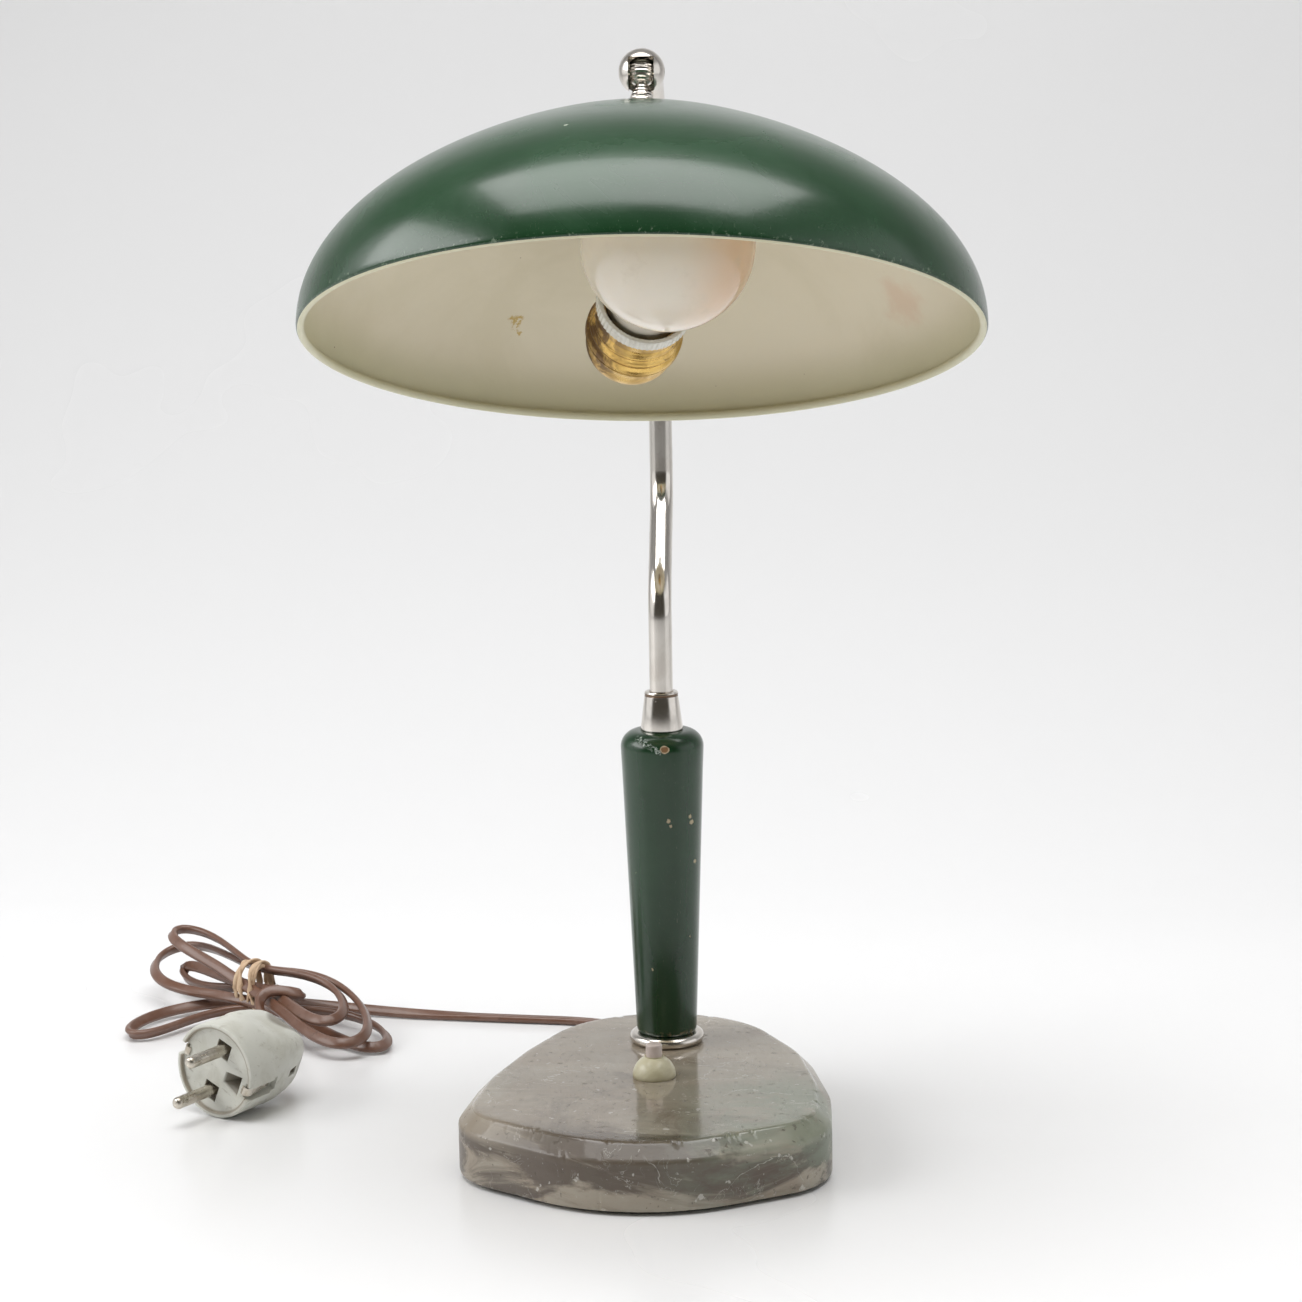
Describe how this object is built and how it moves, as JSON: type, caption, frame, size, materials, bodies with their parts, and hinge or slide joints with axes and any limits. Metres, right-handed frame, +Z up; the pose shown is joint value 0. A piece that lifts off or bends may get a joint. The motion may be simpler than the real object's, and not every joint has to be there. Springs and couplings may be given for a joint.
{
  "type": "desk lamp",
  "caption": "Table lamp with a green spun shade on a slotted ball joint, bent chrome arm, green turned stem and polished stone foot with a push switch; flex tied in a hank.",
  "frame": {"origin": "on the table under the middle of the stem, at the underside of the foot", "axes": "+Z up along the stem; the switch and the front of the foot towards -Y; +X to the right seen from the front"},
  "size_m": [0.3756, 0.3729, 0.4077],
  "materials": {
    "foot_stone": "polished",
    "felt": "felt",
    "chrome": "polished, lightly worn",
    "stem_enamel": "gloss enamel over turned wood, chipped",
    "shade_enamel": "satin green outside, cream inside",
    "plain_steel": "plain",
    "brass": "tarnished",
    "porcelain": "glazed",
    "opal_glass": "opal gloss",
    "black_glass": "gloss",
    "ivory_plastic": "gloss",
    "button_plastic": "gloss",
    "brown_bakelite": "matte",
    "cord_pvc": "satin",
    "rubber_tie": "matte",
    "sleeve_rubber": "matte",
    "plug_plastic": "satin, grubby",
    "pin_metal": "satin nickel"
  },
  "bodies": {
    "lamp_base": {"stone_foot": "foot_stone", "foot_felt": "felt", "foot_ring": "chrome", "wooden_stem": "stem_enamel", "threaded_rod": "plain_steel", "rod_washer": "plain_steel", "rod_nut": "plain_steel", "ferrule": "chrome", "arm_tube": "chrome", "knuckle_ball": "chrome", "knuckle_pin": "plain_steel", "switch_body": "brown_bakelite", "switch_dome": "ivory_plastic", "flex_in_foot": "cord_pvc", "cord_sleeve": "sleeve_rubber", "cord_lead": "cord_pvc", "cord_hank": "cord_pvc", "hank_tie": "rubber_tie", "cord_tail": "cord_pvc", "plug_body": "plug_plastic", "plug_pin_upper": "pin_metal", "plug_pin_lower": "pin_metal", "earth_clip_near": "pin_metal", "earth_clip_far": "pin_metal"},
    "neck": {"knuckle_tongue": "chrome", "tail_nut": "plain_steel"},
    "shade_head": {"crown_washer": "chrome", "lamp_shade": "shade_enamel", "holder_strap": "plain_steel", "holder_nipple": "plain_steel", "holder_nut": "plain_steel", "holder_cap": "brass", "holder_shell": "brass", "porcelain_insert": "porcelain", "screw_shell": "brass", "centre_contact": "brass", "porcelain_ring": "porcelain", "bulb_glass": "opal_glass", "bulb_cap": "plain_steel", "bulb_insulator": "black_glass", "bulb_contact": "plain_steel"},
    "button": {"switch_button": "button_plastic"}
  },
  "joints": [
    {"name": "shade_tilt", "type": "hinge", "parent": "lamp_base", "child": "neck", "pos_m": [0.00544, -0.07781, 0.39959], "axis": [0.9976, 0.0698, 0], "range_deg": [-30, 12]},
    {"name": "shade_swivel", "type": "hinge", "parent": "neck", "child": "shade_head", "pos_m": [0.00544, -0.07781, 0.39959], "axis": [-0.0239, 0.3412, 0.9397], "range_deg": [-35, 35]},
    {"name": "switch_press", "type": "slide", "parent": "lamp_base", "child": "button", "axis": [0, 0, -1], "range_m": [0, 0.003], "stiffness_N_per_m": 600, "springref_m": -0.001}
  ]
}
